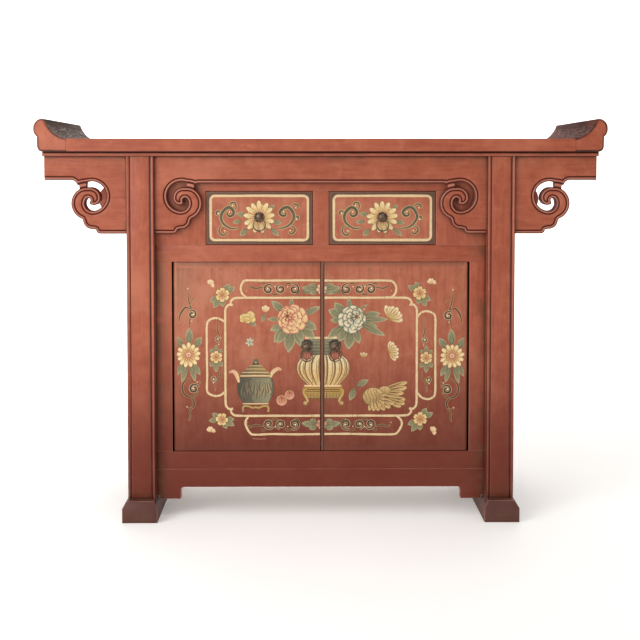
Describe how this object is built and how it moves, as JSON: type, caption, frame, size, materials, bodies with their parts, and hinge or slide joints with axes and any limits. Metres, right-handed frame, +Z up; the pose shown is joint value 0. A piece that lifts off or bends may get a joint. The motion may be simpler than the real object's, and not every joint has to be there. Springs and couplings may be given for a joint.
{
  "type": "altar table",
  "caption": "Altar table with everted ends, pierced scroll brackets, two drawers and a cabinet with two doors between posts on sled feet.",
  "frame": {"origin": "centre of the footprint on the floor, under the middle of the table", "axes": "+X to the right along the length, +Y to the back, +Z up; the doors and drawers face -Y"},
  "size_m": [1.2706, 0.434, 0.9],
  "materials": {
    "red_lacquer": "worn brick-red lacquer, satin, dark in the grooves",
    "painted_front": "brick-red lacquer with painted flowers and scrollwork, satin",
    "worn_top": "brick-red lacquer, rubbed, satin",
    "bare_wood": "bare sawn softwood, dull",
    "aged_brass": "dark antiqued brass"
  },
  "bodies": {
    "carcass": {"back_apron": "red_lacquer", "back_left_bracket": "red_lacquer", "back_left_post": "red_lacquer", "back_moulding": "red_lacquer", "back_panel": "bare_wood", "back_rails": "bare_wood", "back_right_bracket": "red_lacquer", "back_right_post": "red_lacquer", "bottom_rail": "red_lacquer", "cabinet_floor": "bare_wood", "drawer_divider": "red_lacquer", "drawer_flank_boards": "red_lacquer", "drawer_runners": "bare_wood", "dust_board": "bare_wood", "end_aprons": "red_lacquer", "end_mouldings": "red_lacquer", "front_apron": "red_lacquer", "front_left_bracket": "red_lacquer", "front_left_post": "red_lacquer", "front_moulding": "red_lacquer", "front_right_bracket": "red_lacquer", "front_right_post": "red_lacquer", "front_skirt": "red_lacquer", "left_door_stile": "red_lacquer", "left_everted_end": "red_lacquer", "left_side_panel": "red_lacquer", "left_sled_foot": "red_lacquer", "middle_rail": "red_lacquer", "right_door_stile": "red_lacquer", "right_everted_end": "red_lacquer", "right_side_panel": "red_lacquer", "right_sled_foot": "red_lacquer", "side_rails": "red_lacquer", "top_back_rail": "red_lacquer", "top_battens": "bare_wood", "top_front_rail": "red_lacquer", "top_panel": "worn_top", "top_rail": "red_lacquer"},
    "left_drawer": {"left_drawer_front": "painted_front", "left_drawer_sides": "bare_wood", "left_drawer_back": "bare_wood", "left_drawer_bottom": "bare_wood", "left_drawer_pull_plate": "aged_brass"},
    "left_door": {"left_door_board": "painted_front", "left_door_ledges": "bare_wood", "left_door_pull_plate": "aged_brass"},
    "left_drawer_ring": {"left_drawer_pull_ring": "aged_brass"},
    "left_door_ring": {"left_door_pull_ring": "aged_brass"},
    "right_drawer": {"right_drawer_front": "painted_front", "right_drawer_sides": "bare_wood", "right_drawer_back": "bare_wood", "right_drawer_bottom": "bare_wood", "right_drawer_pull_plate": "aged_brass"},
    "right_door": {"right_door_board": "painted_front", "right_door_ledges": "bare_wood", "right_door_pull_plate": "aged_brass"},
    "right_drawer_ring": {"right_drawer_pull_ring": "aged_brass"},
    "right_door_ring": {"right_door_pull_ring": "aged_brass"}
  },
  "joints": [
    {"name": "left_drawer_slide", "type": "slide", "parent": "carcass", "child": "left_drawer", "axis": [0, -1, 0], "range_m": [0, 0.22]},
    {"name": "left_door_hinge", "type": "hinge", "parent": "carcass", "child": "left_door", "pos_m": [-0.325, -0.1555, 0.36], "axis": [0, 0, -1], "range_deg": [0, 95]},
    {"name": "left_drawer_ring_hinge", "type": "hinge", "parent": "left_drawer", "child": "left_drawer_ring", "pos_m": [-0.1385, -0.1724, 0.6766], "axis": [-1, 0, 0], "range_deg": [0, 100]},
    {"name": "left_door_ring_hinge", "type": "hinge", "parent": "left_door", "child": "left_door_ring", "pos_m": [-0.032, -0.1724, 0.3821], "axis": [-1, 0, 0], "range_deg": [0, 100]},
    {"name": "right_drawer_slide", "type": "slide", "parent": "carcass", "child": "right_drawer", "axis": [0, -1, 0], "range_m": [0, 0.22]},
    {"name": "right_door_hinge", "type": "hinge", "parent": "carcass", "child": "right_door", "pos_m": [0.325, -0.1555, 0.36], "axis": [0, 0, 1], "range_deg": [0, 95]},
    {"name": "right_drawer_ring_hinge", "type": "hinge", "parent": "right_drawer", "child": "right_drawer_ring", "pos_m": [0.1385, -0.1724, 0.6766], "axis": [-1, 0, 0], "range_deg": [0, 100]},
    {"name": "right_door_ring_hinge", "type": "hinge", "parent": "right_door", "child": "right_door_ring", "pos_m": [0.032, -0.1724, 0.3821], "axis": [-1, 0, 0], "range_deg": [0, 100]}
  ]
}
